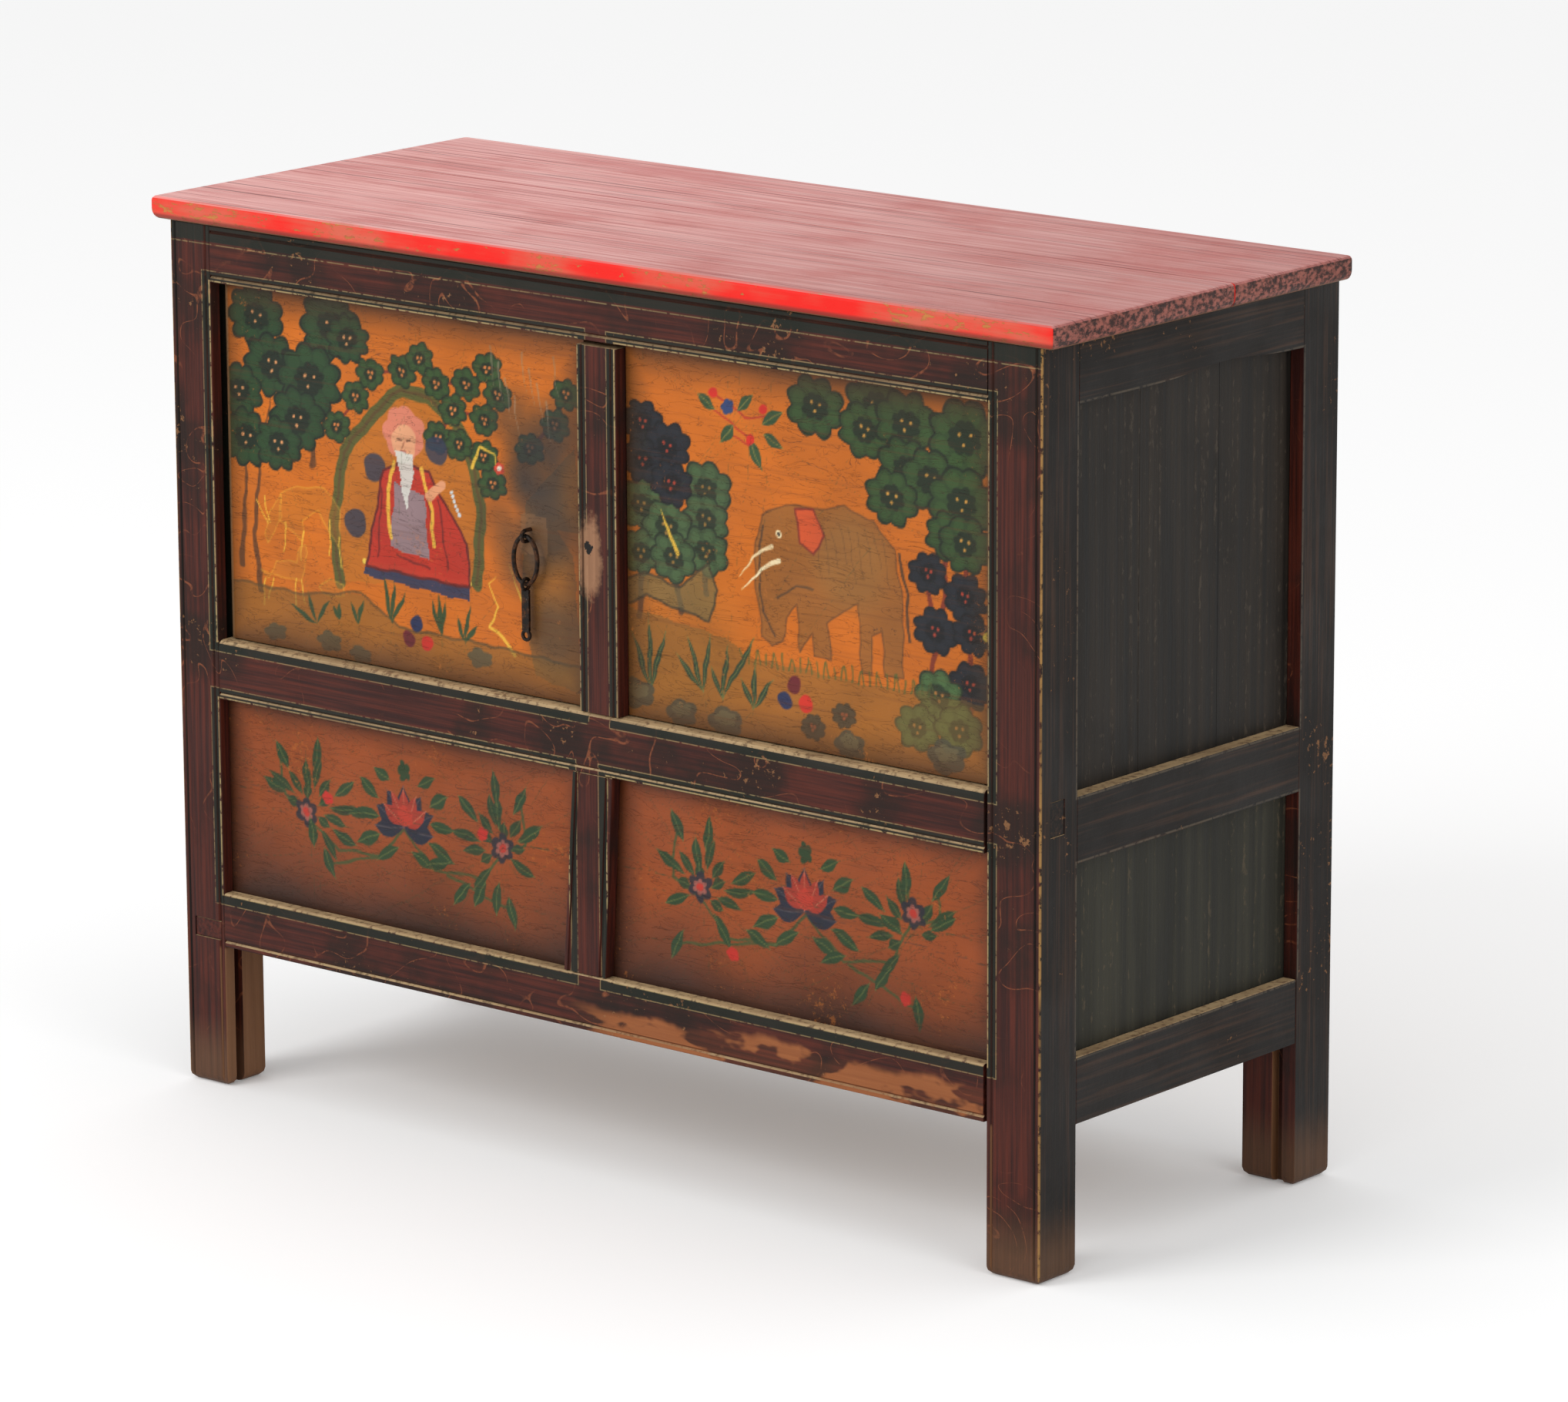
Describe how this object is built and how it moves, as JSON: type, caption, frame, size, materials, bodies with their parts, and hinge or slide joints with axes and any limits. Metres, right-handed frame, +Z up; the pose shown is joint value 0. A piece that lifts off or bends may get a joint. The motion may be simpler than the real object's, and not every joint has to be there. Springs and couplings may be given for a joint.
{
  "type": "painted wooden chest",
  "caption": "Tall frame-and-panel painted wooden chest on four legs, with two pivoting doors, low fixed panels and a moulded top.",
  "frame": {"origin": "on the floor, under the middle of the chest's bounding box", "axes": "+X to the right as seen from the front, +Y from the front to the back, +Z up"},
  "size_m": [1.002, 0.4132, 0.8056],
  "materials": {
    "painted_top": "satin",
    "painted_frame": "satin",
    "painted_door": "satin",
    "painted_low_panel": "satin",
    "dark_side": "satin",
    "bare_wood": "matte",
    "dark_iron": "satin"
  },
  "bodies": {
    "carcass": {"front_left_post": "painted_frame", "front_right_post": "painted_frame", "rear_left_post": "dark_side", "rear_right_post": "dark_side", "front_top_rail": "painted_frame", "front_middle_rail": "painted_frame", "front_bottom_rail": "painted_frame", "left_top_rail": "dark_side", "left_middle_rail": "dark_side", "left_bottom_rail": "dark_side", "right_top_rail": "dark_side", "right_middle_rail": "dark_side", "right_bottom_rail": "dark_side", "back_top_rail": "bare_wood", "back_middle_rail": "bare_wood", "back_bottom_rail": "bare_wood", "centre_stile": "painted_frame", "lower_stile": "painted_frame", "lower_left_panel": "painted_low_panel", "lower_right_panel": "painted_low_panel", "left_side_board_1": "dark_side", "left_side_board_2": "dark_side", "left_side_board_3": "dark_side", "left_lower_panel": "dark_side", "right_side_board_1": "dark_side", "right_side_board_2": "dark_side", "right_side_board_3": "dark_side", "right_lower_panel": "dark_side", "back_upper_board_1": "bare_wood", "back_upper_board_2": "bare_wood", "back_lower_panel": "bare_wood", "floor_board_1": "bare_wood", "floor_board_2": "bare_wood", "floor_board_3": "bare_wood", "floor_board_4": "bare_wood", "floor_board_5": "bare_wood", "top_board_front": "painted_top", "top_board_back": "painted_top"},
    "left_door_leaf": {"left_door": "painted_door", "left_door_top_pin": "bare_wood", "left_door_bottom_pin": "bare_wood", "ring_staple": "dark_iron"},
    "right_door_leaf": {"right_door": "painted_door", "right_door_top_pin": "bare_wood", "right_door_bottom_pin": "bare_wood"},
    "ring": {"pull_ring": "dark_iron"},
    "strap": {"hasp_strap": "dark_iron"}
  },
  "joints": [
    {"name": "left_door_hinge", "type": "hinge", "parent": "carcass", "child": "left_door_leaf", "pos_m": [-0.4271, -0.1789, 0.573], "axis": [0, 0, -1], "range_deg": [0, 90]},
    {"name": "right_door_hinge", "type": "hinge", "parent": "carcass", "child": "right_door_leaf", "pos_m": [0.4189, -0.1789, 0.573], "axis": [0, 0, 1], "range_deg": [0, 90]},
    {"name": "ring_swing", "type": "hinge", "parent": "left_door_leaf", "child": "ring", "pos_m": [-0.0754, -0.1949, 0.555], "axis": [-1, 0, 0], "range_deg": [0, 120]},
    {"name": "strap_swing", "type": "hinge", "parent": "ring", "child": "strap", "pos_m": [-0.0754, -0.1949, 0.513], "axis": [-1, 0, 0], "range_deg": [0, 90]}
  ]
}
